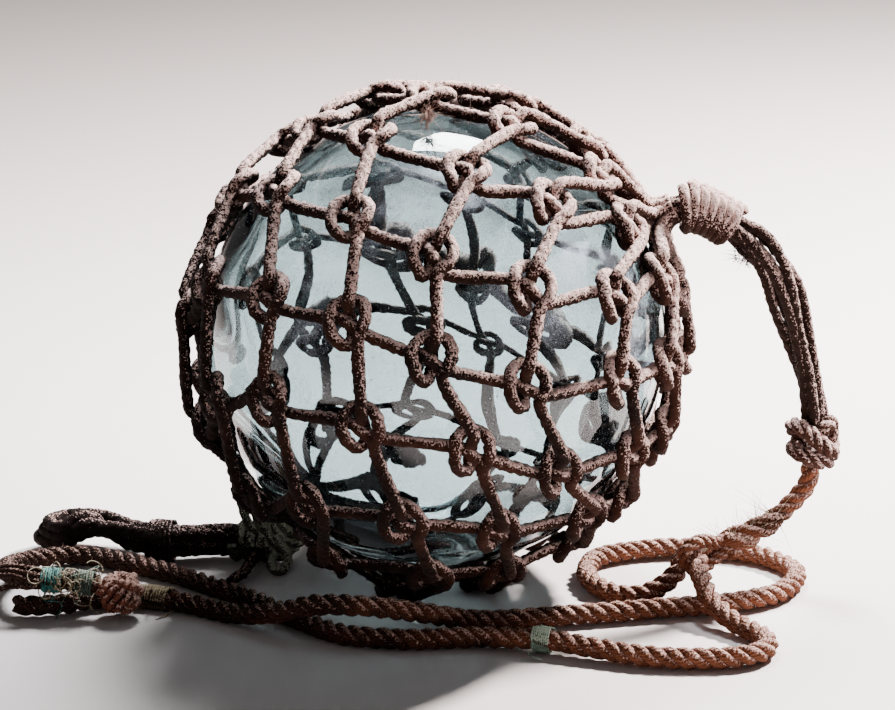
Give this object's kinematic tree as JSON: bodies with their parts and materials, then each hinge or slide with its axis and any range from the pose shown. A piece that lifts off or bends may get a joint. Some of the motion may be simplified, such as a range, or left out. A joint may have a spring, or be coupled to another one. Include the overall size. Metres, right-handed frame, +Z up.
{
  "type": "netted glass fishing float",
  "caption": "Hollow blown glass ball in a hand-knotted cord net, with cord beckets whipped at both poles and a spliced laid line lying round it; it rests on the net's knots",
  "frame": {"origin": "On the surface that the float stands on, under the middle of the whole object without its line", "axes": "+Z up; +X towards the upper becket; -Y towards the front, where the line lies"},
  "size_m": [0.4696, 0.2826, 0.2864],
  "materials": {
    "sea_glass": "blown blue-green glass, thin walled, scuffed and frosted in patches",
    "tarred_net_cord": "hard-laid tarred twine, dark umber with rust brown and a pale dusty crust",
    "whipping_cord": "thick whipped cord, brown with a heavy pale salt crust on top",
    "becket_cord": "bundled tarred cord, dark brown and dusty",
    "pale_lashing_cord": "weathered grey-green lashing cord",
    "laid_line": "three-strand laid line, rust brown to dark umber with pale chafed crowns",
    "green_twine": "blue-green twine, faded",
    "frayed_yarn": "unlaid orange-brown yarn, frayed"
  },
  "bodies": {
    "root": {"glass_ball": "sea_glass", "net": "tarred_net_cord", "upper_collar": "whipping_cord", "upper_becket": "becket_cord", "line_knot": "laid_line", "hanging_line": "laid_line", "eye_splice": "laid_line", "front_line": "laid_line", "back_line": "laid_line", "line_seizing": "green_twine", "end_seizing": "green_twine", "outer_end_seizing": "green_twine", "frayed_knot": "frayed_yarn", "lower_collar": "pale_lashing_cord", "lower_becket": "becket_cord", "becket_ring": "becket_cord"}
  },
  "joints": []
}
